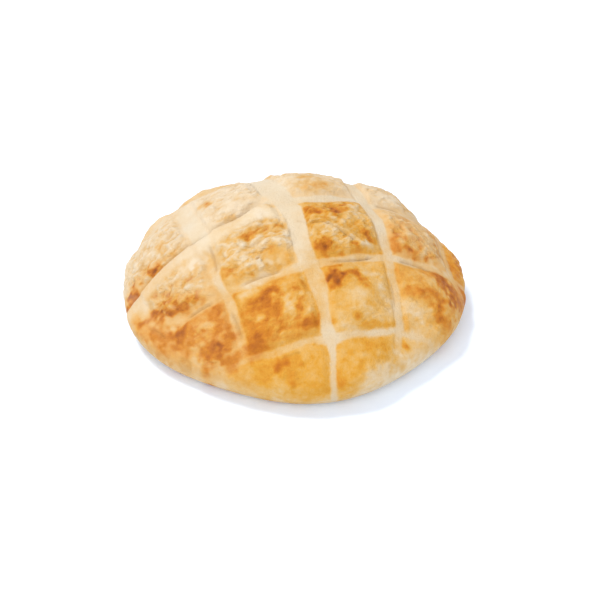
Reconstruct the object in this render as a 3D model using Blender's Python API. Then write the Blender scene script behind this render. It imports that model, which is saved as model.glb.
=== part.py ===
"""Lepinja: a round, domed flatbread, pressed with a grid of score lines before it is baked.

The bread is one closed solid. Its smooth form is a low dome with its crown a little behind the middle, a rounded
rim and a flat underside. Two families of score lines cross over the dome, and the dough has risen between them into
pads. Everything is in metres, with +Z up, and the bread rests on z = 0 with its middle at the origin.
"""

import bmesh
import bpy
import numpy as np

MM = 0.001

# Overall size
MEAN_RADIUS = 80.0 * MM
CROWN_HEIGHT = 57.0 * MM
WIDEST_LEVEL = 12.0 * MM
CROWN_SHIFT_X = -3.0 * MM
CROWN_SHIFT_Y = 16.5 * MM

# The dome is a round-edged cap, sqrt(1 - r ** CAP_FULLNESS), and a softer hill, (1 - r ** 2) ** HILL_STEEPNESS, from
# the crown at r = 0 to the rim at r = 1. CAP_SHARE is the cap's share of the height.
CAP_SHARE = 0.45
CAP_FULLNESS = 2.2
HILL_STEEPNESS = 1.28

# The rim rounds under to the flat underside
RIM_TUCK = 10.0 * MM

# Waves of the outline round the bread, each as (waves in a turn, size, direction of a crest in degrees)
OUTLINE_WAVES = ((2, 4.9 * MM, 0.0), (3, 2.5 * MM, 37.0), (4, 0.6 * MM, -44.0), (5, 1.4 * MM, -8.0))

# Score lines, each as (heading in degrees from +X, how far the line passes to the left of the middle, how far its ends
# bow to the left a radius from its middle, strength of the press)
LENGTHWISE_SCORES = (
    (121.0, 75.6 * MM, 0.0, 0.7),
    (110.0, 42.8 * MM, -1.0 * MM, 0.8),
    (110.5, 1.2 * MM, 7.0 * MM, 1.0),
    (104.0, -41.0 * MM, 8.0 * MM, 0.8),
    (104.5, -74.6 * MM, 0.0, 0.7),
)
CROSSWISE_SCORES = (
    (20.0, 54.0 * MM, 0.0, 0.7),
    (21.5, 15.6 * MM, -7.0 * MM, 1.0),
    (17.5, -24.9 * MM, -1.0 * MM, 0.8),
    (14.5, -59.1 * MM, 1.0 * MM, 0.7),
)
LENGTHWISE_BAND = 3.4 * MM
CROSSWISE_BAND = 1.8 * MM
SCORE_SHOULDER = 4.5 * MM
SCORE_DEPTH = 1.5 * MM
SCORE_WANDER = 0.8 * MM
SCORE_WANDER_LENGTH = 46.0 * MM

# Pads of risen dough between the score lines
PAD_RISE = 1.9 * MM
PAD_ROUNDING = 9.0 * MM

# The pads in front of one crosswise line bulge against it in a fold, left of the middle, and stand above the crust
# behind it
FOLD_SCORE = CROSSWISE_SCORES[1]
FOLD_RISE = 2.2 * MM
FOLD_WIDTH = 5.0 * MM
FOLD_SETBACK = 6.0 * MM
FOLD_DROP = 2.4 * MM
FOLD_DROP_START = -4.0 * MM
FOLD_DROP_END = 1.5 * MM
FOLD_DROP_REACH = 13.0 * MM
FOLD_END = -4.0 * MM
FOLD_RUN_OUT = 14.0 * MM

# Unevenness of the dough, each as (length of a wave, height, direction in degrees, start of the wave in degrees)
DOUGH_WAVES = (
    (52.0 * MM, 0.7 * MM, 20.0, 40.0),
    (37.0 * MM, 0.5 * MM, 115.0, 200.0),
    (23.0 * MM, 0.35 * MM, 65.0, 10.0),
    (16.0 * MM, 0.25 * MM, 150.0, 75.0),
)

# The mesh is a cube's five upper sides blown up to a sphere, so its faces are much the same size all over
FACES_ALONG_SIDE = 32
RIM_TURN = np.radians(104.0)
BASE_TURN = np.arccos(-1.0 / np.sqrt(3.0))

CRUST_COLOUR = (0.80, 0.50, 0.20, 1.0)
CRUST_ROUGHNESS = 0.62


def smooth_step(low, high, value):
    """0 below low, 1 above high, and 3 t^2 - 2 t^3 between them."""
    t = np.clip((value - low) / (high - low), 0.0, 1.0)
    return t * t * (3.0 - 2.0 * t)


def outline_radius(angle):
    """Plan radius of the rim in a direction: the mean radius and a few waves."""
    radius = np.full_like(angle, MEAN_RADIUS)
    for count, size, crest in OUTLINE_WAVES:
        radius += size * np.cos(count * (angle - np.radians(crest)))
    return radius


def section(turn):
    """Share of the outline's radius, and height, where a direction leaves the middle at an angle turn from +Z.

    Down to RIM_TURN it is the dome, then a quarter of an ellipse for the rim, then the flat underside.
    """
    along_dome = np.clip(turn / RIM_TURN, 0.0, 1.0)
    dome_share = np.sin(0.5 * np.pi * along_dome)
    cap = np.sqrt(1.0 - dome_share**CAP_FULLNESS)
    hill = (1.0 - dome_share**2) ** HILL_STEEPNESS
    fall = CAP_SHARE * cap + (1.0 - CAP_SHARE) * hill
    dome_height = WIDEST_LEVEL + (CROWN_HEIGHT - WIDEST_LEVEL) * fall

    round_under = 0.5 * np.pi * np.clip((turn - RIM_TURN) / (BASE_TURN - RIM_TURN), 0.0, 1.0)
    rim_share = 1.0 - RIM_TUCK / MEAN_RADIUS * (1.0 - np.cos(round_under))
    rim_height = WIDEST_LEVEL * (1.0 - np.sin(round_under))

    towards_middle = np.clip((np.pi - turn) / (np.pi - BASE_TURN), 0.0, 1.0)
    share = np.where(turn <= RIM_TURN, dome_share, rim_share * towards_middle)
    height = np.where(turn <= RIM_TURN, dome_height, rim_height)
    return share, height


def smooth_form(directions):
    """Points of the bread without its score lines, one for each unit direction."""
    turn = np.arccos(np.clip(directions[:, 2], -1.0, 1.0))
    angle = np.arctan2(directions[:, 1], directions[:, 0])
    share, height = section(turn)
    radius = share * outline_radius(angle)
    shift = np.where(turn <= RIM_TURN, 1.0 - share**2, 0.0)
    x = radius * np.cos(angle) + CROWN_SHIFT_X * shift
    y = radius * np.sin(angle) + CROWN_SHIFT_Y * shift
    return np.stack([x, y, height], axis=1)


def outward(points):
    """Unit vectors out of the form, taken from an ellipsoid of the dome's proportions."""
    flatness = (CROWN_HEIGHT - WIDEST_LEVEL) / MEAN_RADIUS
    normals = points * (1.0, 1.0, 1.0 / flatness**2)
    normals[:, 2] -= WIDEST_LEVEL / flatness**2
    return normals / np.linalg.norm(normals, axis=1, keepdims=True)


def from_score(points, score):
    """Distance of each point to the left of a score line in plan, and its distance along the line."""
    heading, offset, bow, _ = score
    cos, sin = np.cos(np.radians(heading)), np.sin(np.radians(heading))
    along = points[:, 0] * cos + points[:, 1] * sin
    wander = SCORE_WANDER * np.sin(2.0 * np.pi * along / SCORE_WANDER_LENGTH + heading)
    line = offset + bow * (along / MEAN_RADIUS) ** 2 + wander
    return points[:, 1] * cos - points[:, 0] * sin - line, along


def score_relief(points):
    """Height of the pads above the form, less the depth of the pressed lines."""
    unpressed = np.ones(len(points))
    pad = np.ones(len(points))
    for scores, band in ((LENGTHWISE_SCORES, LENGTHWISE_BAND), (CROSSWISE_SCORES, CROSSWISE_BAND)):
        for score in scores:
            left, _ = from_score(points, score)
            pressed = 1.0 - smooth_step(band, band + SCORE_SHOULDER, np.abs(left))
            unpressed *= 1.0 - score[3] * pressed
            pad *= 1.0 - np.exp(-((left / PAD_ROUNDING) ** 2))
    return PAD_RISE * pad - SCORE_DEPTH * (1.0 - unpressed)


def fold_relief(points):
    """Height of the rolled edge where the pads in front push against the folded score line, less the drop behind it.

    The roll is a bell across the line. The drop starts at the line and dies away exponentially behind it.
    """
    left, along = from_score(points, FOLD_SCORE)
    roll = np.exp(-(((left + FOLD_SETBACK) / FOLD_WIDTH) ** 2))
    behind = smooth_step(FOLD_DROP_START, FOLD_DROP_END, left)
    behind *= np.exp(-np.clip(left, 0.0, None) / FOLD_DROP_REACH)
    strength = 1.0 - smooth_step(FOLD_END - FOLD_RUN_OUT, FOLD_END, along)
    return strength * (FOLD_RISE * roll - FOLD_DROP * behind)


def dough_relief(points):
    """Long and short waves left in the crust by the risen dough."""
    relief = np.zeros(len(points))
    for length, height, direction, start in DOUGH_WAVES:
        along = points[:, 0] * np.cos(np.radians(direction)) + points[:, 1] * np.sin(np.radians(direction))
        relief += height * np.sin(2.0 * np.pi * along / length + np.radians(start))
    return relief


def crust(directions):
    """Points of the finished crust: the smooth form moved out by its relief, which dies away under the rim."""
    points = smooth_form(directions)
    fade = smooth_step(0.3 * WIDEST_LEVEL, 2.0 * WIDEST_LEVEL, points[:, 2])
    relief = fade * (score_relief(points) + fold_relief(points) + dough_relief(points))
    return points + outward(points) * relief[:, None]


def even_directions(corners):
    """Unit directions of a cube's grid points, spread at even angles over each side."""
    spread = np.tan(0.25 * np.pi * corners)
    return spread / np.linalg.norm(spread, axis=1, keepdims=True)


def clear_scene():
    for obj in list(bpy.data.objects):
        bpy.data.objects.remove(obj, do_unlink=True)


def crust_material():
    material = bpy.data.materials.new("baked_crust")
    material.use_nodes = True
    shader = material.node_tree.nodes["Principled BSDF"]
    shader.inputs["Base Color"].default_value = CRUST_COLOUR
    shader.inputs["Roughness"].default_value = CRUST_ROUGHNESS
    shader.inputs["Metallic"].default_value = 0.0
    material.diffuse_color = CRUST_COLOUR
    return material


def make_bread(collection):
    """The bread: a gridded cube without its lowest side, formed into the crust and closed by one flat underside."""
    shape = bmesh.new()
    bmesh.ops.create_cube(shape, size=2.0)
    bmesh.ops.subdivide_edges(shape, edges=shape.edges[:], cuts=FACES_ALONG_SIDE - 1, use_grid_fill=True)
    lowest_side = [face for face in shape.faces if face.normal.z < -0.5]
    bmesh.ops.delete(shape, geom=lowest_side, context="FACES")

    corners = np.array([vertex.co for vertex in shape.verts])
    grid_turn = np.radians(CROSSWISE_SCORES[2][0])
    turned = np.array(
        [[np.cos(grid_turn), np.sin(grid_turn), 0.0], [-np.sin(grid_turn), np.cos(grid_turn), 0.0], [0.0, 0.0, 1.0]]
    )
    points = crust(even_directions(corners) @ turned)
    points[:, :2] -= 0.5 * (points[:, :2].min(axis=0) + points[:, :2].max(axis=0))
    for vertex, point in zip(shape.verts, points):
        vertex.co = point

    open_edges = [edge for edge in shape.edges if edge.is_boundary]
    bmesh.ops.contextual_create(shape, geom=open_edges)
    bmesh.ops.recalc_face_normals(shape, faces=shape.faces[:])

    mesh = bpy.data.meshes.new("bread")
    shape.to_mesh(mesh)
    shape.free()
    mesh.shade_smooth()
    mesh.set_sharp_from_angle(angle=np.radians(60.0))
    mesh.materials.append(crust_material())
    bread = bpy.data.objects.new("bread", mesh)
    collection.objects.link(bread)
    return bread


def main():
    clear_scene()
    collection = bpy.data.collections.new("lepinja")
    bpy.context.scene.collection.children.link(collection)
    make_bread(collection)


main()
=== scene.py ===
"""Looks of the lepinja: a finely formed baked crust in place of the plain bread, its floor, light and camera.

The crust has the same form as the CAD bread. Pale ribbons pressed along the score lines, the fold along one
of them, creases, wrinkles, blisters and pits are relief in its mesh. Lengths are in millimetres in the form's
own frame until a mesh is made, and its middle is moved to the middle of the frame's box there. Headings are
in degrees from +X, turning left.
"""

from typing import NamedTuple

import bmesh
import bpy
import numpy as np
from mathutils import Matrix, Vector


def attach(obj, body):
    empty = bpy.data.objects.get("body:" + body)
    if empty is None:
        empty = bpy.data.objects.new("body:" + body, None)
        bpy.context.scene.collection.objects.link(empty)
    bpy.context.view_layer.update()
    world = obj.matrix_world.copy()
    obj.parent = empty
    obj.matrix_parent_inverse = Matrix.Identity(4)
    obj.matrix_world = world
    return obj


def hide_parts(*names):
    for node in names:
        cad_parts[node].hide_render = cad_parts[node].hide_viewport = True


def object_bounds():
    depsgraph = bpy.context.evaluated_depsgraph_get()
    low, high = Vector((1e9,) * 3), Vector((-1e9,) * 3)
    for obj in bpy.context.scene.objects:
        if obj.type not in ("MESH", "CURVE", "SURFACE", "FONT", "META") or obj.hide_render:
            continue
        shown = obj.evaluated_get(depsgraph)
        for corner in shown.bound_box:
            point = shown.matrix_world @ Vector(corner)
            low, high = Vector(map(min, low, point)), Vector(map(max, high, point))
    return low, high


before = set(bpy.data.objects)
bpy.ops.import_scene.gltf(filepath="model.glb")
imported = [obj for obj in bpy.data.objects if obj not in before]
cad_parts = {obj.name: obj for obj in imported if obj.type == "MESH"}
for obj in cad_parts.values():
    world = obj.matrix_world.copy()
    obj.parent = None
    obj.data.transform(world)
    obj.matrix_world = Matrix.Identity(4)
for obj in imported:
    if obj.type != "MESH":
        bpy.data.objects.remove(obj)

MM = 0.001
CAD_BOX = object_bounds()

# Smooth form, as in the CAD bread
MEAN_RADIUS = 80.0
CROWN_HEIGHT = 57.0
WIDEST_LEVEL = 12.0
CROWN_SHIFT_X = -3.0
CROWN_SHIFT_Y = 16.5
CAP_SHARE = 0.45
CAP_FULLNESS = 2.2
HILL_STEEPNESS = 1.28
RIM_TUCK = 10.0
SCORE_WANDER = 0.8
SCORE_WANDER_LENGTH = 46.0
PAD_RISE = 1.9
PAD_ROUNDING = 9.0

# Waves of the outline, as (how many, size, heading of a crest), and of the dough, as (length, size, heading,
# phase at the middle in degrees)
OUTLINE_WAVES = ((2, 4.9, 0.0), (3, 2.5, 37.0), (4, 0.6, -44.0), (5, 1.4, -8.0))
DOUGH_WAVES = (
    (52.0, 0.7, 20.0, 40.0), (37.0, 0.5, 115.0, 200.0), (23.0, 0.35, 65.0, 10.0), (16.0, 0.25, 150.0, 75.0),
)

# The mesh is a cube's five upper sides blown up to a sphere, with its grid along the crosswise score lines
FACES_ALONG_SIDE = 180
GRID_TURN = 17.5
RIM_TURN = np.radians(104.0)
BASE_TURN = np.arccos(-1.0 / np.sqrt(3.0))


class Score(NamedTuple):
    """A pressed line: its heading, its distance to the left of the middle, and how far its ends bow left.

    front and back are the widths of its two shoulders. Each station along it is (distance along, drift to the
    left, half the width of the pressed ribbon, its depth, its paleness from 0 to 1).
    """

    heading: float
    offset: float
    bow: float
    front: float
    back: float
    stations: tuple


# Columns of the stations
DRIFT, HALF_WIDTH, DEPTH, PALENESS = 1, 2, 3, 4

# From the left rim to the right rim
LENGTHWISE = (
    Score(121.0, 75.6, 0.0, 2.4, 2.4, (
        (-40, 0.0, 1.5, 0.3, 0.1), (-8, -0.4, 1.5, 0.4, 0.1), (4, 1.2, 1.6, 0.6, 0.3),
        (14, 1.6, 2.2, 0.9, 0.5), (30, 1.0, 2.0, 0.8, 0.3), (60, 0.0, 2.0, 0.8, 0.4),
    )),
    Score(110.0, 42.8, -1.0, 1.8, 2.2, (
        (-72, 0.0, 0.8, 0.1, 0.0), (-54, -0.2, 1.8, 0.6, 0.1), (-42, 0.3, 2.2, 1.0, 0.45),
        # At -18 along this line the raised paleness of 0.8 is a painted highlight
        (-34, 0.6, 2.4, 1.0, 0.5), (-27, -0.2, 2.4, 1.1, 0.5), (-18, 0.3, 1.8, 1.0, 0.8),
        (-6, 0.0, 2.2, 0.9, 0.15), (4, 0.2, 3.4, 0.8, 0.3), (14, 1.3, 4.8, 0.9, 0.8),
        (41, -0.4, 4.6, 0.9, 0.8), (62, 0.0, 3.2, 0.8, 0.5), (80, 0.0, 3.0, 0.8, 0.5),
    )),
    Score(110.5, 1.2, 7.0, 1.9, 3.2, (
        (-84, 2.6, 1.4, 0.3, 0.6), (-77, 2.2, 1.7, 0.5, 1.0), (-68, -0.5, 1.7, 0.7, 1.0),
        (-64, -1.2, 2.6, 0.8, 1.0), (-60, -1.2, 4.2, 0.8, 1.0), (-56, -0.2, 3.6, 0.8, 0.9),
        (-50, 0.0, 2.9, 0.9, 0.55), (-44, 0.0, 3.7, 1.0, 0.55), (-36, -0.3, 4.7, 1.2, 0.6),
        (-24, -0.1, 5.2, 1.2, 0.6), (-14, -0.5, 5.4, 1.3, 0.75), (-3, -1.2, 5.5, 1.3, 0.85),
        (12, -1.3, 6.3, 1.2, 0.95), (25, -0.2, 7.4, 1.2, 1.0), (45, 0.0, 5.6, 1.4, 0.9),
        (66, 0.0, 3.4, 1.2, 0.6), (80, 0.0, 3.0, 1.0, 0.5),
    )),
    Score(104.0, -41.0, 8.0, 1.7, 1.7, (
        (-80, 0.0, 1.0, 0.2, 0.1), (-66, 0.4, 1.8, 0.4, 0.4), (-57, -1.8, 2.4, 0.7, 0.85),
        (-47, -0.6, 2.2, 0.7, 0.6), (-30, 0.0, 2.3, 0.8, 0.55), (-18, -2.7, 2.8, 1.0, 0.75),
        (-10, -2.2, 2.8, 1.1, 0.75), (-3, -1.2, 3.0, 1.1, 1.0), (5, 0.1, 3.3, 1.3, 0.75),
        (18, 1.0, 3.3, 1.3, 0.75), (30, 0.9, 3.2, 1.3, 0.85), (60, 0.0, 3.0, 1.2, 0.8),
    )),
    Score(104.5, -74.6, 0.0, 2.0, 2.0, (
        (-45, 0.0, 1.4, 0.3, 0.2), (-23, -0.7, 2.0, 0.8, 0.55), (-12, -1.6, 2.0, 1.0, 0.6),
        (-2, -0.3, 2.0, 1.0, 0.6), (30, 0.0, 2.0, 1.0, 0.6),
    )),
)

# From the front to the back, with the folded line third
CROSSWISE = (
    Score(14.5, -59.1, 1.0, 1.3, 2.4, (
        (-62, 0.0, 0.8, 0.1, 0.0), (-48, 0.6, 1.0, 0.3, 0.1), (-37, 1.7, 1.3, 0.6, 0.35),
        (-26, -0.2, 1.5, 0.8, 0.4), (-14, -1.0, 1.5, 0.9, 0.45), (-7, -1.6, 1.6, 0.9, 0.5),
        (-2, -2.8, 2.4, 0.8, 0.8), (3, -3.3, 2.9, 0.8, 1.0), (11, -0.6, 1.6, 0.7, 0.8),
        (18, -0.5, 1.5, 0.6, 0.8), (27, 0.1, 1.5, 0.6, 0.85), (35, 0.8, 1.5, 0.6, 0.9),
        (41, -1.0, 1.4, 0.5, 0.7), (51, -1.2, 1.2, 0.4, 0.4), (60, -1.0, 1.0, 0.2, 0.1),
        (70, 0.0, 1.0, 0.1, 0.0),
    )),
    Score(17.5, -24.9, -1.0, 1.3, 3.0, (
        (-76, 1.5, 1.4, 0.4, 0.1), (-60, 1.0, 1.5, 0.9, 0.35), (-49, 1.5, 1.5, 0.9, 0.3),
        (-38, 1.0, 1.7, 0.9, 0.4), (-28, -1.8, 2.0, 0.9, 0.35), (-20, -1.2, 2.0, 0.9, 0.35),
        (-12, -0.6, 2.2, 0.9, 0.4), (-3, 0.0, 2.8, 1.0, 0.8), (9, -1.5, 2.3, 1.0, 0.6),
        (20, -1.2, 2.1, 0.9, 0.55), (32, 0.6, 2.0, 0.9, 0.6), (41, 2.9, 2.6, 0.9, 0.75),
        (49, 1.2, 2.6, 1.0, 0.75), (63, -1.3, 2.3, 1.0, 0.65), (74, -2.2, 2.0, 0.8, 0.5),
    )),
    Score(21.5, 15.6, -7.0, 1.3, 4.5, (
        (-80, 4.0, 0.8, 1.8, 0.0), (-64, 1.1, 0.8, 2.6, 0.05), (-40, -0.7, 0.8, 2.6, 0.1),
        (-22, -0.6, 0.9, 2.4, 0.2), (-8, 1.0, 2.2, 1.2, 0.9), (2, -1.2, 3.6, 1.0, 1.0),
        (12, -2.8, 2.8, 1.1, 0.95), (36, -2.6, 2.8, 1.1, 0.9), (43, -3.4, 2.6, 1.1, 0.8),
        (50, -3.8, 2.2, 1.0, 0.5), (57, -5.2, 2.0, 1.0, 0.4), (64, -6.0, 2.0, 1.0, 0.4),
        (76, -8.0, 2.0, 1.0, 0.5),
    )),
    Score(20.0, 54.0, 0.0, 2.2, 2.2, (
        (-60, 0.0, 2.0, 0.8, 0.6), (0, 1.0, 2.8, 1.2, 0.8), (30, -1.0, 2.4, 1.2, 0.7),
        (60, 0.0, 2.0, 0.8, 0.6),
    )),
)
CROSSING_SHARE = 0.25

# Pale middle of a ribbon: a share of its width less an inset, with two soft edges. Faint stretches are made
# fainter by a power, and its paleness is uneven, from PALE_LEAST up over PALE_RANGE.
PALE_WIDTH = 0.8
PALE_INSET = 0.5
PALE_FRONT = 1.2
PALE_BACK = 1.3
PALENESS_FALL = 1.3
PALE_LEAST = 0.66
PALE_RANGE = 0.6
PALE_BLOTCH = 6.0

# The fold: its roll in front of the line, the drop behind it, the push of its flank over it, crease and skin
FOLD = CROSSWISE[2]
FOLD_END = -4.0
FOLD_RUN_OUT = 14.0
FOLD_RISE = 2.2
FOLD_WIDTH = 5.0
FOLD_SETBACK = 6.0
FOLD_DROP = 2.4
FOLD_DROP_START = -2.0
FOLD_DROP_END = 0.5
FOLD_DROP_REACH = 13.0
FOLD_PUSH = 2.0
FOLD_PUSH_PLACE = -3.2
FOLD_PUSH_WIDTH = 2.4
FOLD_CREASE = 1.1
FOLD_CREASE_PLACE = 0.3
FOLD_SKIN_PLACE = -3.6
FOLD_SKIN = (3.0, 6.0)
FOLD_SKIN_PALENESS = 0.35

# Creases, as (middle x, middle y, heading, half length, bow to the left, half width, depth)
CREASES = (
    # Along the score lines
    (-44.5, -40, 15, 7, 0.3, 0.8, 0.9), (-15.5, -30.5, 18, 11.5, 0.4, 0.7, 0.8),
    (28, -17.5, 24, 13, -0.8, 0.6, 1.0), (59.5, -9.5, 5, 9.5, 1.2, 0.9, 0.8),
    (-1.5, -66, 11, 5.5, 0.4, 0.8, 0.6), (46.5, 28, 4, 6.5, 0.6, 0.9, 0.8),
    # Across, where the lengthwise lines pull the skin
    (-38.5, -17.5, -76, 8.5, 0.4, 0.8, 0.8), (-27, -50.5, -67, 8, 0.3, 0.9, 0.7),
    (47.5, -30.5, -85, 7.5, 0.3, 0.7, 0.4), (74.5, 8, -82, 7.5, 0.5, 0.8, 0.7),
    # On the pads, with the long pleat of the middle one first
    (13, -3.5, -11, 6.5, 0.5, 0.9, 0.9), (24, -6.5, -22, 6.5, -0.6, 0.9, 0.9),
    (41, -38.5, -12, 5, 0.6, 0.7, 0.4), (56, -30.5, -24, 3, 1.0, 0.7, 0.4),
    (-65, -42.5, -45, 6.5, 0.4, 0.9, 0.6), (4, -2, -22, 3.5, 0.3, 0.7, 0.3),
    (-51.5, -58, -33, 4.5, 0.3, 0.8, 0.4), (-19.5, -14.5, 13, 5, -0.8, 0.9, 0.7),
    (-14.5, -19, 54, 6.5, 0.6, 0.9, 0.6),
)

# How far each pad is baked, from 0 for dough to 1 for dark brown, how wrinkled it is and how floury. Rows run
# from the front pads to the back ones, and each row from the left rim to the right rim. From pad to pad they
# change over PAD_BLEND on both sides of a line.
PAD_BLEND = 3.0
PAD_BAKE = (
    (0.42, 0.44, 0.47, 0.42, 0.38, 0.43),
    (0.50, 0.51, 0.55, 0.36, 0.41, 0.60),
    (0.46, 0.39, 0.26, 0.39, 0.40, 0.52),
    (0.32, 0.18, 0.10, 0.20, 0.24, 0.36),
    (0.27, 0.22, 0.22, 0.26, 0.30, 0.38),
)
PAD_WRINKLES = (
    (0.30, 0.25, 0.25, 0.25, 0.25, 0.40),
    (0.45, 0.50, 0.60, 0.40, 0.40, 0.55),
    (0.85, 1.25, 1.15, 1.10, 1.05, 0.75),
    (1.15, 1.15, 0.95, 0.60, 0.90, 0.60),
    (0.60, 0.60, 0.60, 0.50, 0.60, 0.50),
)
PAD_FLOUR = (
    (0.70, 0.30, 0.00, 0.00, 0.10, 0.10),
    (0.90, 0.85, 0.20, 0.10, 0.35, 0.00),
    (0.80, 0.90, 0.35, 0.15, 0.90, 0.10),
    (0.90, 0.95, 0.95, 0.80, 0.90, 0.40),
    (0.80, 0.85, 0.75, 0.65, 0.65, 0.45),
)

# Toasted patches, and pale ones below 0, as (x, y, half length, half width, heading, how much more baked)
PATCHES = (
    # Front pads
    (-7, -69, 4, 2, 10, 0.27), (-8, -70, 9, 5, 10, 0.06), (-7, -74, 4.5, 4, 35, -0.14),
    (16, -75, 4, 3.5, 65, -0.11), (18, -76, 7, 4, 15, 0.05), (42, -65, 14, 6, 35, -0.20),
    (53, -52, 2.5, 2, -35, 0.30), (57, -52, 10, 5, 50, -0.13),
    # Left rim, in front of the fold and along the low edge
    (-59, -33, 13, 4, -5, 0.23), (-63, -34, 8, 3, -15, 0.16), (-46, -34, 5, 2, -10, 0.10),
    (-72, -26, 4, 2, -85, -0.20), (-47, -11, 10, 7, 60, -0.24), (-54, -21, 8, 3, 15, -0.13),
    (-47, -30, 8, 4, 0, -0.14), (-44, -20, 5, 4, 55, -0.13), (-53, -48, 4, 4, 0, 0.17),
    (-60, -47, 5, 4, 0, 0.09), (-61, -38, 10, 5, 0, 0.09), (-64, -39, 10, 5, -70, 0.11),
    (-37, -53, 8, 5, 80, 0.16), (-39, -59, 5, 5, 60, 0.19), (-30, -57, 6, 4, 70, 0.22),
    (-38, -44, 6, 4, 45, 0.15), (-46, -59, 5, 3, -65, -0.18), (-34, -67, 6, 4.5, -25, -0.14),
    (-57, -49, 23, 4, -40, 0.08),
    # Second row, left of the middle line
    (-28, -64, 5, 4, 60, 0.18), (-19, -62, 6.5, 4, 10, 0.16), (-16, -43, 8, 5, 5, 0.13),
    (-12, -38, 4, 2.5, 10, 0.27), (-15, -55, 9, 5.5, 10, 0.10), (7, -53, 4, 2.5, 20, 0.29),
    (-3, -45, 5, 3, -80, -0.26), (-16, -49, 3, 2, 25, -0.24), (-1, -32, 8, 4.5, 65, -0.13),
    (-22, -37, 9, 3.5, 10, -0.24), (6, -39, 14, 3, -80, -0.16), (-8, -47, 9, 4.5, 10, 0.10),
    (-19, -50, 5.5, 4, 0, -0.08), (-1, -41, 6, 3, 50, -0.18), (-5, -60, 4, 3.5, 15, -0.11),
    # Second row, right of the middle line, with a toasted arch behind
    (19, -32, 5.5, 3, 65, 0.40), (16, -24, 7, 3.5, 10, 0.18), (26, -27, 5.5, 2.5, 30, 0.22),
    (32, -29, 5.5, 3, -60, 0.21), (15, -31, 5, 2.5, 60, 0.19), (25, -32, 8, 5, 5, 0.10),
    (28, -38, 6, 4.5, 25, -0.08), (29, -47, 2, 2, 0, 0.24), (18, -51, 2, 2, 0, 0.24),
    (14, -52, 5, 3.5, -50, 0.11), (38, -48, 9, 2.5, 20, 0.22), (40, -28, 9, 4, -80, -0.10),
    (26, -52, 8, 4, 10, -0.12),
    # Right rim
    (54, -15, 8, 4, 50, 0.11), (56, -35, 7, 4.5, -15, -0.12), (57, -41, 7, 4.5, -10, -0.10),
    (56, -26, 6, 4, -5, 0.14), (67, -24, 6.5, 5, -15, 0.18), (70, -32, 7, 5.5, 5, 0.22),
    (78, -16, 10, 6, -85, 0.16), (68, -11, 11, 6, -45, 0.21), (70, -14, 10, 4.5, -75, 0.18),
    (54, -4, 8, 4, 10, 0.13), (50, -1, 6, 4.5, 60, 0.19), (67, 1, 5, 4, -20, 0.16),
    (77, 8, 8.5, 5, -50, 0.18),
    # Third row, right of the middle line
    (8, 5, 5, 3.5, 5, 0.29), (19, 6, 7.5, 4, 35, 0.30), (19, 10, 4.5, 2, 20, 0.13),
    (17, 3, 6, 3, 45, 0.10), (14, -15, 4, 2.5, 15, 0.35), (16, -15, 9.5, 4.5, 10, 0.18),
    (32, -13, 9.5, 3, 20, 0.16), (35, -3, 6.5, 4, -45, 0.29),
    # Third row, left of the middle line, up to the fold
    (-20, -8, 11, 3, 15, 0.27), (-24, -11, 5, 2, 5, 0.19), (-9, -20, 8, 4.5, 10, 0.22),
    (-31, -26, 4.5, 2.5, 50, 0.21), (-20, -27, 3.5, 2.5, 20, 0.16), (-26, -30, 8.5, 2.5, 10, 0.10),
    (-9, -26, 8.5, 2, 10, 0.18), (-13, 4, 12, 4.5, 20, -0.22),
    # Behind the fold at the left rim
    (-65, 5, 4.5, 3, -20, 0.26), (-59, -5, 5.5, 3, 0, 0.11), (-64, -5, 12, 4.5, 20, 0.21),
    (-74, -10, 9, 7.5, 30, 0.16), (-72, -4, 10, 7.5, 40, 0.13), (-79, -15, 5.5, 4, 75, 0.27),
    (-80, -14, 3, 3, 0, 0.21), (-73, -13, 7, 5, 0, 0.14),
    # Back pads in the photo's view
    (-32, 8, 5, 3, 15, 0.29), (-43, 22, 4, 2.5, -25, 0.29), (6, 32, 6.5, 3, 30, 0.21),
    (9, 26, 9, 4, 30, 0.21), (-13, 22, 11.5, 6, 20, -0.06),
    # Back pads out of view
    (-4, 70, 9, 4.5, 5, 0.30), (-34, 60, 8, 4.5, 30, 0.29), (30, 62, 8, 5, -20, 0.32),
    (55, 44, 7, 4, -50, 0.21), (-56, 42, 7, 4.5, 50, 0.21), (10, 58, 7, 3.5, 10, 0.18),
    (70, 22, 7, 4, -65, 0.18), (-20, 50, 6, 3.5, 20, 0.13),
)

# Areas where the dough stayed smooth, as (x, y, half length, half width, heading)
SMOOTH_AREAS = (
    (-47, -12, 11.5, 6.5, 60), (-14, 5, 12, 4.5, 20), (-8, -21, 7, 4, 10), (-51, 18, 15.5, 7, -85),
    (27, -38, 8, 4.5, 25),
)

# Random detail has one seed. Its grid of cubes is turned by a rotation and shifted for each use of the seed.
SEED = 11
TILT = np.array([[0.80, 0.48, -0.36], [-0.60, 0.64, -0.48], [0.0, 0.60, 0.80]])
SEED_SHIFT = 0.37

# Relief fades in between two heights, and what is on the pads alone between two shares of pad
BROAD_RELIEF_FROM = (0.3 * WIDEST_LEVEL, 2.0 * WIDEST_LEVEL)
FINE_RELIEF_FROM = (1.0, 9.0)
PAD_EDGE = (0.02, 0.35)

# Creases fade from this share of their half length on. Smooth areas end between two distances of their ovals.
CREASE_FADE = 0.6
CREASE_SOFTNESS = 1.25
SMOOTH_EDGE = (0.7, 1.2)
SMOOTHING = 0.85

# Wrinkles, with their parts as (share, size, seed)
WRINKLE_HEADING = GRID_TURN + 8.0
WRINKLE_HEIGHT = 2.3
WRINKLE_STRETCH = 1.7
WRINKLE_BEND = 2.4
WRINKLE_BEND_SIZE = 7.0
WRINKLE_MEAN = 0.66
WRINKLE_RIDGES = (0.35, 7.0, SEED + 4)
WRINKLE_VALLEYS = ((0.3, 4.2, SEED + 5), (0.32, 2.4, SEED + 12))
WRINKLE_LUMPS = (0.4, 4.6, SEED + 6)

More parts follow.
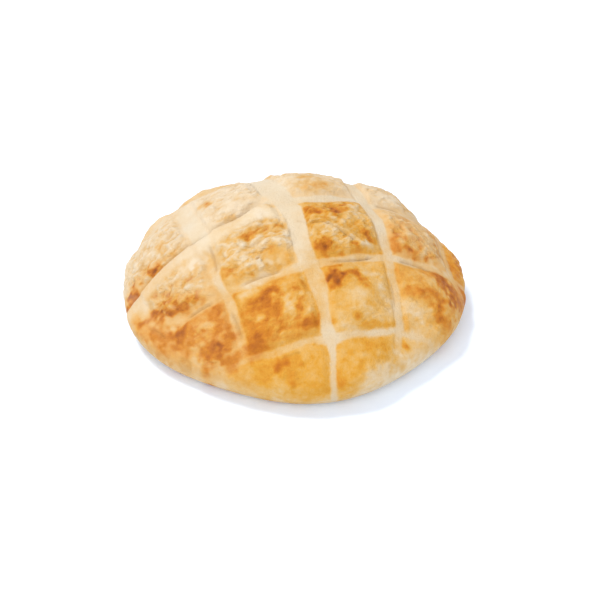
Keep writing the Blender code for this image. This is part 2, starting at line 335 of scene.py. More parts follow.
# Blisters and pits, scattered down to a little above the widest level
BLISTERS = 260
BLISTER_RADII = (1.2, 3.6)
BLISTER_HEIGHT = 0.5
BLISTERS_OFF_PADS = 0.25
PITS = 150
PIT_RADII = (0.9, 1.7)
PIT_DEPTH = 0.5
LOWEST_SPOT = -0.05
SPOT_STRENGTHS = (0.4, 1.0)

# Random unevenness, each part as (size of its blotches, its whole range, seed)
RIBBON_EDGES = ((6.0, 0.8, SEED + 1), (1.8, 0.7, SEED + 2))
PATCH_EDGES = ((4.2, 0.7, SEED + 7), (2.0, 0.9, SEED + 8))
BAKE_BLOTCHES = ((9.0, 0.20, SEED + 9), (3.6, 0.08, SEED + 10), (1.7, 0.08, SEED + 11))

# Baking. A patch fades out between two distances of its oval, and a pair of levels is two heights between
# which the crust changes.
PATCH_FADE = (0.1, 1.5)
TOAST_ON_BLISTERS = 0.12
# Painted shade bakes the valleys of wrinkles darker, and a painted highlight bakes their crests paler
WRINKLE_SHADE_AND_HIGHLIGHT = 0.12
LOW_TOAST = 0.04
LOW_TOAST_LEVELS = (4.0, 22.0)
# The foot is made paler as painted light, bounced up from the white floor
FOOT_BOUNCE_LIGHT = 0.20
FOOT_LEVELS = (3.0, 16.0)
RIBBON_BAKE = 0.10
RIBBON_BAKE_LOW = 0.14
RIBBON_LEVELS = (15.0, 44.0)
RIBBON_MOTTLING = 0.5
RIBBON_FROM_PADS = 0.12
MEAN_BAKE = 0.3

# Flour begins to go where the crust is baked past the first value, and is least from the second one on
FLOUR_LOST = 0.9
FLOUR_LOST_FROM = (0.36, 0.66)

# How much painted shade darkens creases, pits and the valleys of wrinkles
CREASE_SHADE = 0.8
PIT_SHADE = 0.5
VALLEY_SHADE = 0.3
VALLEY_DEPTHS = (0.2, 1.0)


# Form

def smooth_step(low, high, value):
    """0 below low, 1 above high, and 3 t^2 - 2 t^3 between them."""
    t = np.clip((value - low) / (high - low), 0.0, 1.0)
    return t * t * (3.0 - 2.0 * t)


def outline_radius(angle):
    """Plan radius of the rim in a direction: the mean radius and a few waves."""
    radius = np.full_like(angle, MEAN_RADIUS)
    for count, size, crest in OUTLINE_WAVES:
        radius += size * np.cos(count * (angle - np.radians(crest)))
    return radius


def section(turn):
    """Share of the outline's radius, and height, for a direction from the middle at an angle turn from +Z.

    Down to RIM_TURN it is the dome, then a quarter of an ellipse for the rim, then the flat underside.
    """
    dome_share = np.sin(0.5 * np.pi * np.clip(turn / RIM_TURN, 0.0, 1.0))
    cap = np.sqrt(1.0 - dome_share**CAP_FULLNESS)
    hill = (1.0 - dome_share**2) ** HILL_STEEPNESS
    dome_height = WIDEST_LEVEL + (CROWN_HEIGHT - WIDEST_LEVEL) * (CAP_SHARE * cap + (1.0 - CAP_SHARE) * hill)

    round_under = 0.5 * np.pi * np.clip((turn - RIM_TURN) / (BASE_TURN - RIM_TURN), 0.0, 1.0)
    rim_share = 1.0 - RIM_TUCK / MEAN_RADIUS * (1.0 - np.cos(round_under))
    rim_height = WIDEST_LEVEL * (1.0 - np.sin(round_under))

    towards_middle = np.clip((np.pi - turn) / (np.pi - BASE_TURN), 0.0, 1.0)
    share = np.where(turn <= RIM_TURN, dome_share, rim_share * towards_middle)
    return share, np.where(turn <= RIM_TURN, dome_height, rim_height)


def smooth_form(directions):
    """Points of the bread without its score lines, one for each unit direction."""
    turn = np.arccos(np.clip(directions[:, 2], -1.0, 1.0))
    angle = np.arctan2(directions[:, 1], directions[:, 0])
    share, height = section(turn)
    radius = share * outline_radius(angle)
    shift = np.where(turn <= RIM_TURN, 1.0 - share**2, 0.0)
    x = radius * np.cos(angle) + CROWN_SHIFT_X * shift
    y = radius * np.sin(angle) + CROWN_SHIFT_Y * shift
    return np.stack([x, y, height], axis=1)


def outward(points):
    """Unit vectors out of the form, taken from an ellipsoid of the dome's proportions."""
    flatness = (CROWN_HEIGHT - WIDEST_LEVEL) / MEAN_RADIUS
    normals = points * (1.0, 1.0, 1.0 / flatness**2)
    normals[:, 2] -= WIDEST_LEVEL / flatness**2
    return normals / np.linalg.norm(normals, axis=1, keepdims=True)


def grid_directions():
    """Unit directions of the grid points on a cube's five upper sides, at even angles, and the quads between.

    Each side is a grid of whole-number corners, so corners that two sides share are equal and are merged. The
    four walls have half as many rows as the top, because they're squeezed down to the rim.
    """
    steps = 2 * np.arange(FACES_ALONG_SIDE + 1) - FACES_ALONG_SIDE
    a, b = np.meshgrid(steps, steps, indexing="ij")
    c, d = np.meshgrid(steps, steps[::2], indexing="ij")
    top, wall = np.full_like(a, FACES_ALONG_SIDE), np.full_like(c, FACES_ALONG_SIDE)
    sides = ((a, b, top), (wall, c, d), (-c, wall, d), (-wall, -c, d), (c, -wall, d))
    corners = np.concatenate([np.stack(side, axis=-1).reshape(-1, 3) for side in sides])
    quads = []
    first = 0
    for side in sides:
        numbers = first + np.arange(side[0].size).reshape(side[0].shape)
        around = [numbers[:-1, :-1], numbers[1:, :-1], numbers[1:, 1:], numbers[:-1, 1:]]
        quads.append(np.stack(around, axis=-1).reshape(-1, 4))
        first += side[0].size
    corners, merged = np.unique(corners, axis=0, return_inverse=True)
    quads = merged.reshape(-1)[np.concatenate(quads)]
    spread = np.tan(0.25 * np.pi * corners / FACES_ALONG_SIDE)
    spread /= np.linalg.norm(spread, axis=1, keepdims=True)
    cos, sin = np.cos(np.radians(GRID_TURN)), np.sin(np.radians(GRID_TURN))
    turned = np.array([[cos, sin, 0.0], [-sin, cos, 0.0], [0.0, 0.0, 1.0]])
    return spread @ turned, quads


# Random detail

def lattice_value(cells, seed):
    """A repeatable random value from 0 to 1 for each whole-number cell, from a hash with large numbers."""
    mixed = cells[:, 0] * 73856093 ^ cells[:, 1] * 19349663 ^ cells[:, 2] * 83492791 ^ seed * 668265263
    mixed = (mixed ^ (mixed >> 13)) * 1274126177
    return ((mixed ^ (mixed >> 16)) & 0xFFFFFF) / 0xFFFFFF


def cloud(points, size, seed):
    """Smooth random values from 0 to 1 that change over a length size.

    Space is cut in cubes of that size, turned by TILT. Each corner gets a random value, and the eight corners
    of a point's cube are blended with 3 t^2 - 2 t^3 along each side.
    """
    tilted = points @ TILT / size + SEED_SHIFT * seed
    cells = np.floor(tilted).astype(np.int64)
    t = tilted - cells
    t = t * t * (3.0 - 2.0 * t)
    total = np.zeros(len(points))
    for corner in np.ndindex(2, 2, 2):
        weight = np.prod(np.where(np.array(corner, bool), t, 1.0 - t), axis=1)
        total += weight * lattice_value(cells + np.array(corner), seed)
    return total


def ridges(points, size, seed):
    """Narrow random ridges from 0 to 1: one less the distance of a cloud from its middle value, squared."""
    return (1.0 - np.abs(2.0 * cloud(points, size, seed) - 1.0)) ** 2


def blotches(points, parts):
    """Random unevenness around 0: a sum of clouds, each as (size, whole range, seed)."""
    return sum(swing * (cloud(points, size, seed) - 0.5) for size, swing, seed in parts)


def scattered(points, count, radii, seed):
    """Domes of 1 at random places on the crust, fading to 0 at a random radius from each place."""
    random = np.random.default_rng(seed)
    angle = random.uniform(-np.pi, np.pi, count)
    up = random.uniform(LOWEST_SPOT, 1.0, count)
    flat = np.sqrt(1.0 - up**2)
    places = smooth_form(np.stack([flat * np.cos(angle), flat * np.sin(angle), up], axis=1))
    sizes = random.uniform(*radii, count)
    strengths = random.uniform(*SPOT_STRENGTHS, count)
    domes = np.zeros(len(points))
    for place, size, strength in zip(places, sizes, strengths):
        near = np.flatnonzero(np.abs(points - place).max(axis=1) < size)
        distance = np.linalg.norm(points[near] - place, axis=1) / size
        domes[near] = np.maximum(domes[near], strength * (1.0 - smooth_step(0.0, 1.0, distance)))
    return domes


# Score lines

def from_score(points, score):
    """Distance of each point to the left of a score line in plan, and its distance along the line."""
    cos, sin = np.cos(np.radians(score.heading)), np.sin(np.radians(score.heading))
    along = points[:, 0] * cos + points[:, 1] * sin
    wander = SCORE_WANDER * np.sin(2.0 * np.pi * along / SCORE_WANDER_LENGTH + score.heading)
    line = score.offset + score.bow * (along / MEAN_RADIUS) ** 2 + wander + station(score, along, DRIFT)
    return points[:, 1] * cos - points[:, 0] * sin - line, along


def station(score, along, column):
    """A score's drift, half width, depth or paleness at distances along it, straight between its stations."""
    table = np.array(score.stations, float)
    return np.interp(along, table[:, 0], table[:, column])


def ribbon(left, half_width, front, back):
    """1 on a ribbon either side of a line, falling to 0 over a shoulder in front of it and one behind it."""
    in_front = smooth_step(-half_width - front, -half_width, left)
    behind = smooth_step(half_width, half_width + back, left)
    return in_front * (1.0 - behind)


def scores_on(points):
    """Relief of the pressed lines and the pads between them, paleness of the ribbons, and share of pad.

    The share of pad is the product of 1 - exp(-(distance / PAD_ROUNDING)^2) over all lines, and the pads rise
    with it. Where two lines cross, the deeper one counts in full and CROSSING_SHARE of the other is added.
    """
    depth = np.zeros(len(points))
    paleness = np.zeros(len(points))
    pad = np.ones(len(points))
    ragged = blotches(points, RIBBON_EDGES)
    uneven = PALE_LEAST + PALE_RANGE * cloud(points, PALE_BLOTCH, SEED + 13)
    for score in LENGTHWISE + CROSSWISE:
        left, along = from_score(points, score)
        half_width = station(score, along, HALF_WIDTH)
        pressed = station(score, along, DEPTH) * ribbon(left, half_width, score.front, score.back)
        depth = np.maximum(depth, pressed) + CROSSING_SHARE * np.minimum(depth, pressed)
        pale = ribbon(left + ragged, PALE_WIDTH * half_width - PALE_INSET, PALE_FRONT, PALE_BACK)
        paleness = np.maximum(paleness, station(score, along, PALENESS) ** PALENESS_FALL * pale)
        pad *= 1.0 - np.exp(-((left / PAD_ROUNDING) ** 2))
    return PAD_RISE * pad - depth, np.clip(paleness * uneven, 0.0, 1.0), pad


def pad_value(points, table):
    """The value of each point's pad in a table of pads, changing over a few millimetres at the score lines.

    It is the first pad's value and, past each line, the change to the next row or column.
    """
    table = np.array(table)
    columns = [smooth_step(-PAD_BLEND, PAD_BLEND, -from_score(points, score)[0]) for score in LENGTHWISE]
    rows = [smooth_step(-PAD_BLEND, PAD_BLEND, from_score(points, score)[0]) for score in CROSSWISE]
    column_steps = np.stack([np.ones(len(points)), *columns])
    row_steps = np.stack([np.ones(len(points)), *rows])
    changes = np.diff(table, axis=1, prepend=0.0)
    changes = np.diff(changes, axis=0, prepend=0.0)
    return np.einsum("rc,rn,cn->n", changes, row_steps, column_steps)


def fold_on(points):
    """Height of the rolled edge in front of the folded line, less the drop behind it, and lean, crease, skin.

    The roll is a bell across the line, the drop dies away exponentially behind it, and the lean, a second
    bell, is how far the fold's back flank moves over the line. The skin is 1 where the roll made it smooth.
    """
    left, along = from_score(points, FOLD)
    strength = 1.0 - smooth_step(FOLD_END - FOLD_RUN_OUT, FOLD_END, along)
    roll = FOLD_RISE * strength * np.exp(-(((left + FOLD_SETBACK) / FOLD_WIDTH) ** 2))
    dropped = smooth_step(FOLD_DROP_START, FOLD_DROP_END, left)
    roll -= FOLD_DROP * strength * dropped * np.exp(-np.clip(left, 0.0, None) / FOLD_DROP_REACH)
    lean = FOLD_PUSH * strength * np.exp(-(((left - FOLD_PUSH_PLACE) / FOLD_PUSH_WIDTH) ** 2))
    crease = strength * (1.0 - smooth_step(0.0, FOLD_CREASE, np.abs(left - FOLD_CREASE_PLACE)))
    skin = strength * (1.0 - smooth_step(*FOLD_SKIN, np.abs(left - FOLD_SKIN_PLACE)))
    return roll, lean, crease, skin


def creases_on(points):
    """Depth of the thin creases: each follows an arc, fades out at its ends, and is deepest in its middle."""
    depth = np.zeros(len(points))
    for x, y, heading, half_length, bow, half_width, deep in CREASES:
        cos, sin = np.cos(np.radians(heading)), np.sin(np.radians(heading))
        along = ((points[:, 0] - x) * cos + (points[:, 1] - y) * sin) / half_length
        across = (points[:, 1] - y) * cos - (points[:, 0] - x) * sin - bow * (1.0 - along**2)
        fade = 1.0 - smooth_step(CREASE_FADE, 1.0, np.abs(along))
        cut = 1.0 - smooth_step(0.0, CREASE_SOFTNESS * half_width, np.abs(across))
        depth = np.maximum(depth, deep * fade * cut)
    return depth


def wrinkles_on(points):
    """Random wrinkles around a mean height of 0: ridges, two sizes of thin valleys and lumps.

    They are WRINKLE_STRETCH times as long along their heading as across it, and bent by a cloud.
    """
    cos, sin = np.cos(np.radians(WRINKLE_HEADING)), np.sin(np.radians(WRINKLE_HEADING))
    along = (points[:, 0] * cos + points[:, 1] * sin) / WRINKLE_STRETCH
    across = points[:, 1] * cos - points[:, 0] * sin
    stretched = np.stack([along, across, points[:, 2]], axis=1)
    stretched += WRINKLE_BEND * (cloud(points, WRINKLE_BEND_SIZE, SEED + 3) - 0.5)[:, None]
    share, size, seed = WRINKLE_RIDGES
    height = share * ridges(stretched, size, seed)
    for share, size, seed in WRINKLE_VALLEYS:
        height += share * (1.0 - ridges(stretched, size, seed))
    share, size, seed = WRINKLE_LUMPS
    height += share * cloud(points, size, seed)
    return WRINKLE_HEIGHT * (height - WRINKLE_MEAN)


def oval(points, x, y, half_length, half_width, heading):
    """Distance of each point in plan from an oval's middle, 1 on the oval."""
    cos, sin = np.cos(np.radians(heading)), np.sin(np.radians(heading))
    along = ((points[:, 0] - x) * cos + (points[:, 1] - y) * sin) / half_length
    across = ((points[:, 1] - y) * cos - (points[:, 0] - x) * sin) / half_width
    return np.hypot(along, across)


def smooth_areas(points):
    """1 inside the smooth areas, fading to 0 a little outside them."""
    smooth = np.zeros(len(points))
    for area in SMOOTH_AREAS:
        smooth = np.maximum(smooth, 1.0 - smooth_step(*SMOOTH_EDGE, oval(points, *area)))
    return smooth


# Crust

def baking(points, paleness, height, wrinkle, blisters):
    """How far each point is baked, from 0 to 1: its pad, the patches, the rim, the relief, random mottling.

    A ribbon is baked little, but more low on the bread, and takes a small share of what the pads there have.
    The wrinkles add painted shade in their valleys and a painted highlight on their crests, and the foot is
    made paler by painted light bounced from the floor.
    """
    bake = pad_value(points, PAD_BAKE)
    ragged = blotches(points, PATCH_EDGES)
    for x, y, half_length, half_width, heading, more in PATCHES:
        distance = oval(points, x, y, half_length, half_width, heading)
        bake += more * (1.0 - smooth_step(*PATCH_FADE, distance + ragged))
    mottling = blotches(points, BAKE_BLOTCHES)
    # The wrinkle term is painted shade in the valleys and a painted highlight on the crests
    bake += mottling + TOAST_ON_BLISTERS * blisters - WRINKLE_SHADE_AND_HIGHLIGHT * wrinkle
    bake += LOW_TOAST * (1.0 - smooth_step(*LOW_TOAST_LEVELS, height))
    # Painted light from the floor pales the foot
    bake -= FOOT_BOUNCE_LIGHT * (1.0 - smooth_step(*FOOT_LEVELS, height))
    ribbon_bake = RIBBON_BAKE + RIBBON_BAKE_LOW * (1.0 - smooth_step(*RIBBON_LEVELS, height))
    ribbon_bake += RIBBON_MOTTLING * mottling + RIBBON_FROM_PADS * (bake - MEAN_BAKE)
    return np.clip(bake + (ribbon_bake - bake) * paleness, 0.0, 1.0)


def dough_waves(points):
    """Height of the dough's long waves: a sum of sines along different headings."""
    waves = np.zeros(len(points))
    for length, size, heading, start in DOUGH_WAVES:
        along = points[:, 0] * np.cos(np.radians(heading)) + points[:, 1] * np.sin(np.radians(heading))
        waves += size * np.sin(2.0 * np.pi * along / length + np.radians(start))
    return waves


def crust():
    """Points of the finished crust, its quads and looks: the form, moved along its normals by its relief."""
    directions, quads = grid_directions()
    points = smooth_form(directions)
    height = points[:, 2]
    scored, paleness, pad = scores_on(points)
    roll, lean, fold_crease, fold_skin = fold_on(points)
    crease = np.maximum(creases_on(points), fold_crease)
    smoothness = np.maximum(smooth_areas(points), fold_skin)
    on_pads = (1.0 - paleness) * smooth_step(*PAD_EDGE, pad) * (1.0 - SMOOTHING * smoothness)
    roughness = pad_value(points, PAD_WRINKLES)
    crisp = roughness * on_pads
    wrinkle = wrinkles_on(points) * crisp
    blisters = scattered(points, BLISTERS, BLISTER_RADII, SEED + 20)
    blisters *= BLISTERS_OFF_PADS + (1.0 - BLISTERS_OFF_PADS) * on_pads
    pits = scattered(points, PITS, PIT_RADII, SEED + 21) * on_pads

    off_table = smooth_step(*BROAD_RELIEF_FROM, height)
    broad = off_table * (scored + roll + dough_waves(points))
    fine = wrinkle + BLISTER_HEIGHT * blisters - crease - PIT_DEPTH * pits * roughness
    relief = broad + smooth_step(*FINE_RELIEF_FROM, height) * fine
    bake = baking(points, paleness, height, wrinkle, blisters) * (1.0 - FOLD_SKIN_PALENESS * fold_skin)
    flour_left = 1.0 - FLOUR_LOST * smooth_step(*FLOUR_LOST_FROM, bake)
    # Painted shade: darker colour in creases, pits and the valleys of wrinkles
    shade = CREASE_SHADE * crease + PIT_SHADE * pits + VALLEY_SHADE * smooth_step(*VALLEY_DEPTHS, -wrinkle)
    looks = {
        "bake": bake,
        "ribbon": paleness,
        "crisp": crisp,
        "flour": pad_value(points, PAD_FLOUR) * (1.0 - paleness) * flour_left,
        "painted_shade": np.clip(shade, 0.0, 1.0),
    }
    points = points + outward(points) * relief[:, None]
    fold_heading = np.radians(FOLD.heading)
    lean *= off_table
    points[:, 0] -= np.sin(fold_heading) * lean
    points[:, 1] += np.cos(fold_heading) * lean
    return points, quads, looks


def make_bread():
    """The bread: the crust's grid closed by one flat underside, with its middle on the frame's middle."""
    points, quads, looks = crust()
    low, high = CAD_BOX
    frame_middle = 0.5 * (np.array(low) + np.array(high))[:2] / MM
    points[:, :2] += frame_middle - 0.5 * (points[:, :2].min(axis=0) + points[:, :2].max(axis=0))

    mesh = bpy.data.meshes.new("baked_crust_bread")
    mesh.from_pydata(points * MM, [], quads)
    for name, values in looks.items():
        layer = mesh.attributes.new(name, "FLOAT", "POINT")
        layer.data.foreach_set("value", values.astype(np.float32))
    shape = bmesh.new()
    shape.from_mesh(mesh)
    base_edges = [edge for edge in shape.edges if edge.is_boundary]
    underside = bmesh.ops.contextual_create(shape, geom=base_edges)["faces"]
    bmesh.ops.recalc_face_normals(shape, faces=shape.faces[:])
    for face in shape.faces:
        face.smooth = True
    for face in underside:
        face.smooth = False
        face.material_index = 1
    shape.to_mesh(mesh)
    shape.free()
    bread = bpy.data.objects.new("baked_crust_bread", mesh)
    bpy.context.scene.collection.objects.link(bread)
    return bread


# Materials

def linear(hex_colour):
    """Linear red, green, blue and alpha of an sRGB colour written as six hex digits."""
    shares = np.array([int(hex_colour[place : place + 2], 16) for place in (0, 2, 4)]) / 255.0
    values = np.where(shares <= 0.04045, shares / 12.92, ((shares + 0.055) / 1.055) ** 2.4)
    return (*values.tolist(), 1.0)


def add_node(tree, kind, output=0, inputs=None, **settings):
    """One output of a new shader node with its settings, and inputs that are values or other outputs."""
    node = tree.nodes.new(kind)
    for name, value in settings.items():
        setattr(node, name, value)
    for name, value in (inputs or {}).items():
        if isinstance(value, bpy.types.NodeSocket):
            tree.links.new(value, node.inputs[name])
        else:
            node.inputs[name].default_value = value
    return node.outputs[output]


def set_ramp(node, stops):
    """Gives a colour ramp its stops, each as (position, sRGB hex colour)."""
    elements = node.color_ramp.elements
    while len(elements) < len(stops):
        elements.new(0.5)
    for element, (position, colour) in zip(elements, stops):
        element.position = position
        element.color = linear(colour)


def per_mm(size):
    """Scale of a texture on Object coordinates, in metres, that repeats about every size millimetres."""
    return 1.0 / (size * MM)


# Crust colours by baking, from dough at 0 to dark toast at 1
BAKE_COLOURS = (
    (0.00, "dfcfb4"), (0.12, "dac4a0"), (0.24, "d5b584"), (0.35, "d3a65c"), (0.47, "cf942e"),
    (0.60, "c47a12"), (0.73, "b26506"), (0.86, "9c5202"), (1.00, "804202"),
)

# Flour on the pads, floury dust on the pressed ribbons, and painted shade in creases, pits and the
# valleys of wrinkles, each as (look on the mesh, its largest share, sRGB colour)
TINTS = (("flour", 0.4, "d3ba98"), ("ribbon", 0.4, "c6baa4"), ("painted_shade", 0.6, "9c6c2a"))

# Crust patterns. Mottling shows more on golden crust than on pale dough, so it has two bakes and two shares.
MOTTLE_SIZE = 2.6
MOTTLE_BAKES = (0.1, 0.5)
MOTTLE_SHARES = (0.08, 0.2)
GRAIN_SIZE = 0.9
GRAIN_SHARE = 0.1
CRUMB_SIZE = 2.6
CRUMB_HEADING = 24.0
CRUMB_STRETCH = 1.8
# Share of painted shade in the crumbs' hollows and painted highlight on their tops
CRUMB_SHADE_SHARE = 0.64
CRUMB_HEIGHT = 2.2
PORE_SIZE = 1.2
BUMP_DEPTH = 0.7
ROUGH_MOTTLES = (0.3, 0.7)
ROUGHNESSES = (0.5, 0.68)
CRUST_SPECULAR = 0.25

UNDERSIDE_COLOURS = ((0.30, "ead6ae"), (0.48, "ddb277"), (0.62, "c78a45"), (0.75, "a5672c"))
UNDERSIDE_BLOTCH = 14.0
GRIT_SIZE = 1.6
GRIT_DEPTH = 0.4


def crust_browning(tree, place, mottle, crumbs, crisp):
    """Place on the ramp of crust colours.

    It is bake + mottle share * (mottle - 0.5) + grain share * (grain - 0.5) + crumb share * crisp
    * (0.5 - crumbs), where the mottle share grows with bake. The crumb term is painted shade in the crumbs'
    hollows and a painted highlight on their tops.
    """
    bake = add_node(tree, "ShaderNodeAttribute", "Fac", attribute_name="bake")
    grain = add_node(
        tree, "ShaderNodeTexNoise", "Fac",
        {"Vector": place, "Scale": per_mm(GRAIN_SIZE), "Detail": 3.0, "Roughness": 0.6},
    )
    mottle_share = add_node(
        tree, "ShaderNodeMapRange", 0,
        {"Value": bake, "From Min": MOTTLE_BAKES[0], "From Max": MOTTLE_BAKES[1],
         "To Min": MOTTLE_SHARES[0], "To Max": MOTTLE_SHARES[1]},
    )
    mottle = add_node(tree, "ShaderNodeMath", 0, {0: mottle, 1: 0.5}, operation="SUBTRACT")
    browning = add_node(
        tree, "ShaderNodeMath", 0, {0: mottle, 1: mottle_share, 2: bake}, operation="MULTIPLY_ADD",
    )
    grain = add_node(tree, "ShaderNodeMath", 0, {0: grain, 1: 0.5}, operation="SUBTRACT")
    browning = add_node(
        tree, "ShaderNodeMath", 0, {0: grain, 1: GRAIN_SHARE, 2: browning}, operation="MULTIPLY_ADD",
    )
    # Painted shade in the crumbs' hollows and a painted highlight on their tops
    valleys = add_node(tree, "ShaderNodeMath", 0, {0: 0.5, 1: crumbs}, operation="SUBTRACT")
    valleys = add_node(tree, "ShaderNodeMath", 0, {0: valleys, 1: crisp}, operation="MULTIPLY")
    return add_node(
        tree, "ShaderNodeMath", 0, {0: valleys, 1: CRUMB_SHADE_SHARE, 2: browning}, operation="MULTIPLY_ADD",
    )


def crust_bump(tree, place, crumbs, crisp):
    """Fine relief of crumbs on the crisp pads, and of pores all over."""
    pores = add_node(
        tree, "ShaderNodeTexNoise", "Fac",
        {"Vector": place, "Scale": per_mm(PORE_SIZE), "Detail": 5.0, "Roughness": 0.7},
    )
    height = add_node(tree, "ShaderNodeMath", 0, {0: crumbs, 1: crisp}, operation="MULTIPLY")
    height = add_node(
        tree, "ShaderNodeMath", 0, {0: height, 1: CRUMB_HEIGHT, 2: pores}, operation="MULTIPLY_ADD",
    )
    return add_node(
        tree, "ShaderNodeBump", "Normal", {"Height": height, "Strength": 1.0, "Distance": BUMP_DEPTH * MM},
    )


def baked_crust_material():
    """Baked wheat crust: thin and dry, browned where it rose. The eye gets a satin, slightly uneven skin.

    Its colour goes from flour-pale dough to dark toast with the mesh's bake attribute, broken up by mottling,
    grain and crumbs, with painted shade in the crumbs' hollows and a painted highlight on their tops. Flour
    dulls the pads, the pressed ribbons are greyish cream, and painted shade darkens creases and pits.
    """
    material = bpy.data.materials.new("baked_wheat_crust")
    material.use_nodes = True
    tree = material.node_tree
    shader = tree.nodes["Principled BSDF"]
    place = add_node(tree, "ShaderNodeTexCoord", "Object")
    turned = (0.0, 0.0, np.radians(CRUMB_HEADING))
    along_crumbs = add_node(
        tree, "ShaderNodeMapping", "Vector",
        {"Vector": place, "Rotation": turned, "Scale": (CRUMB_STRETCH, 1.0, 1.0)}, vector_type="TEXTURE",
    )
    mottle = add_node(
        tree, "ShaderNodeTexNoise", "Fac",
        {"Vector": place, "Scale": per_mm(MOTTLE_SIZE), "Detail": 4.0, "Roughness": 0.65},
    )
    crumbs = add_node(
        tree, "ShaderNodeTexNoise", "Fac",
        {"Vector": along_crumbs, "Scale": per_mm(CRUMB_SIZE), "Detail": 3.0, "Roughness": 0.55},
    )
    crisp = add_node(tree, "ShaderNodeAttribute", "Fac", attribute_name="crisp")

    browning = crust_browning(tree, place, mottle, crumbs, crisp)
    colour = add_node(tree, "ShaderNodeValToRGB", "Color", {"Fac": browning})
    set_ramp(colour.node, BAKE_COLOURS)
    for name, most, tint in TINTS:
        look = add_node(tree, "ShaderNodeAttribute", "Fac", attribute_name=name)
        share = add_node(tree, "ShaderNodeMath", 0, {0: look, 1: most}, operation="MULTIPLY")
        mix = {"Factor": share, "A": colour, "B": linear(tint)}
        colour = add_node(tree, "ShaderNodeMix", "Result", mix, data_type="RGBA")
    roughness = add_node(
        tree, "ShaderNodeMapRange", 0,
        {"Value": mottle, "From Min": ROUGH_MOTTLES[0], "From Max": ROUGH_MOTTLES[1],
         "To Min": ROUGHNESSES[0], "To Max": ROUGHNESSES[1]},
    )
    tree.links.new(colour, shader.inputs["Base Color"])
    tree.links.new(roughness, shader.inputs["Roughness"])
    tree.links.new(crust_bump(tree, place, crumbs, crisp), shader.inputs["Normal"])
    shader.inputs["Metallic"].default_value = 0.0
    shader.inputs["Specular IOR Level"].default_value = CRUST_SPECULAR
    return material


def floured_underside_material():
    """Floured underside, baked on the oven floor: the eye gets a dull pale-brown face, floury in blotches."""
    material = bpy.data.materials.new("floured_underside")
    material.use_nodes = True
    tree = material.node_tree
    shader = tree.nodes["Principled BSDF"]
    place = add_node(tree, "ShaderNodeTexCoord", "Object")
    floury = add_node(
        tree, "ShaderNodeTexNoise", "Fac",
        {"Vector": place, "Scale": per_mm(UNDERSIDE_BLOTCH), "Detail": 6.0, "Roughness": 0.62},
    )
    colour = add_node(tree, "ShaderNodeValToRGB", "Color", {"Fac": floury})
    set_ramp(colour.node, UNDERSIDE_COLOURS)
    grit = add_node(
        tree, "ShaderNodeTexNoise", "Fac", {"Vector": place, "Scale": per_mm(GRIT_SIZE), "Detail": 4.0},
    )
    bump = add_node(
        tree, "ShaderNodeBump", "Normal", {"Height": grit, "Strength": 0.5, "Distance": GRIT_DEPTH * MM},
    )
    tree.links.new(colour, shader.inputs["Base Color"])
    tree.links.new(bump, shader.inputs["Normal"])
    shader.inputs["Roughness"].default_value = 0.8
    return material


def paper_floor_material():
    """Matt white card, as under a product shot: the eye gets an even white with a soft shadow."""
    material = bpy.data.materials.new("matt_white_card")
    material.use_nodes = True
    shader = material.node_tree.nodes["Principled BSDF"]
    shader.inputs["Base Color"].default_value = linear("e4eefa")
    shader.inputs["Emission Color"].default_value = linear("e9eeff")
    shader.inputs["Emission Strength"].default_value = FLOOR_GLOW
    shader.inputs["Roughness"].default_value = 0.9
    shader.inputs["Specular IOR Level"].default_value = 0.1
    return material


# Stage, light and camera

FLOOR_HALF = 6.0
FLOOR_GLOW = 0.125
SKY_COLOUR = "fbfbff"
SKY_STRENGTH = 0.78
KEY_STRENGTH = 1.86
KEY_FROM = (-0.52, 0.42, 1.25)
KEY_SOFTNESS = 16.0
FILL_STRENGTH = 1.2
FILL_FROM = (-0.15, -0.9, 0.7)
FILL_SOFTNESS = 60.0

IMAGE_SIDE = 595.0
SENSOR = 36.0
CAMERA_ELEVATION = 37.0
CAMERA_DISTANCE = 880.0
FOCAL_PIXELS = 1805.0
TARGET = (0.0, 0.0, 24.0)
TARGET_PIXEL = (293.8, 274.2)


def make_floor():
    """A flat square far wider than the picture."""
    mesh = bpy.data.meshes.new("white_floor")
    corners = [(x * FLOOR_HALF, y * FLOOR_HALF, 0.0) for x, y in ((-1, -1), (1, -1), (1, 1), (-1, 1))]
    mesh.from_pydata(corners, [], [(0, 1, 2, 3)])
    mesh.materials.append(paper_floor_material())
    floor = bpy.data.objects.new("white_floor", mesh)
    bpy.context.scene.collection.objects.link(floor)


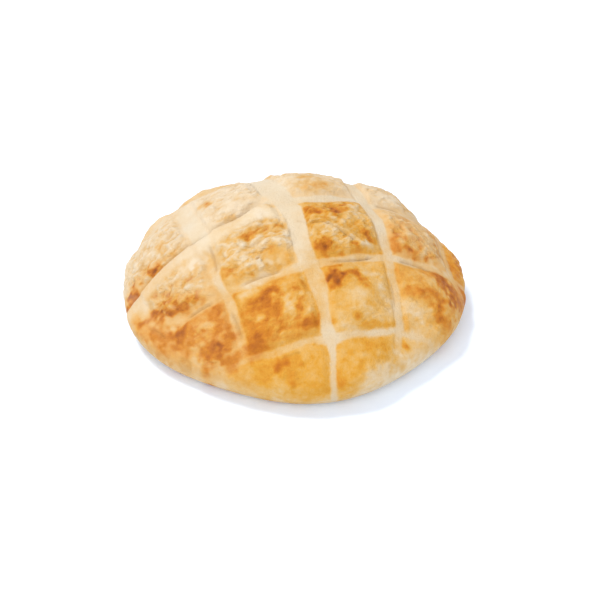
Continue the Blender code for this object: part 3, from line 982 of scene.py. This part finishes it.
def make_sky():
    """An even white studio all round."""
    world = bpy.data.worlds.new("white_studio")
    world.use_nodes = True
    background = world.node_tree.nodes["Background"]
    background.inputs["Color"].default_value = linear(SKY_COLOUR)
    background.inputs["Strength"].default_value = SKY_STRENGTH
    bpy.context.scene.world = world


def add_sun(name, strength, comes_from, softness):
    """A distant soft light that shines from a direction, its softness the angle it fills in the sky."""
    light = bpy.data.lights.new(name, "SUN")
    light.energy = strength
    light.angle = np.radians(softness)
    sun = bpy.data.objects.new(name, light)
    sun.rotation_euler = Vector(comes_from).to_track_quat("Z", "Y").to_euler()
    bpy.context.scene.collection.objects.link(sun)


def make_camera():
    """The photo's camera: it sees the target from CAMERA_ELEVATION, turned so that it's at TARGET_PIXEL."""
    elevation = np.radians(CAMERA_ELEVATION)
    forward = np.array([0.0, np.cos(elevation), -np.sin(elevation)])
    up = np.array([0.0, np.sin(elevation), np.cos(elevation)])
    right = np.array([1.0, 0.0, 0.0])
    eye = np.array(TARGET) - CAMERA_DISTANCE * forward
    right_of_target = (0.5 * IMAGE_SIDE - TARGET_PIXEL[0]) / FOCAL_PIXELS
    above_target = (TARGET_PIXEL[1] - 0.5 * IMAGE_SIDE) / FOCAL_PIXELS
    axis = forward + right_of_target * right + above_target * up
    data = bpy.data.cameras.new("photo_camera")
    data.sensor_width = SENSOR
    data.lens = FOCAL_PIXELS * SENSOR / IMAGE_SIDE
    camera = bpy.data.objects.new("photo_camera", data)
    camera.location = eye * MM
    camera.rotation_euler = Vector(-axis).to_track_quat("Z", "Y").to_euler()
    bpy.context.scene.collection.objects.link(camera)
    bpy.context.scene.camera = camera


bread = make_bread()
bread.data.materials.append(baked_crust_material())
bread.data.materials.append(floured_underside_material())
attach(bread, "root")
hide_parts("bread")

make_floor()
make_sky()
add_sun("window_light", KEY_STRENGTH, KEY_FROM, KEY_SOFTNESS)
add_sun("front_fill", FILL_STRENGTH, FILL_FROM, FILL_SOFTNESS)
make_camera()
bpy.context.scene.view_settings.view_transform = "Standard"
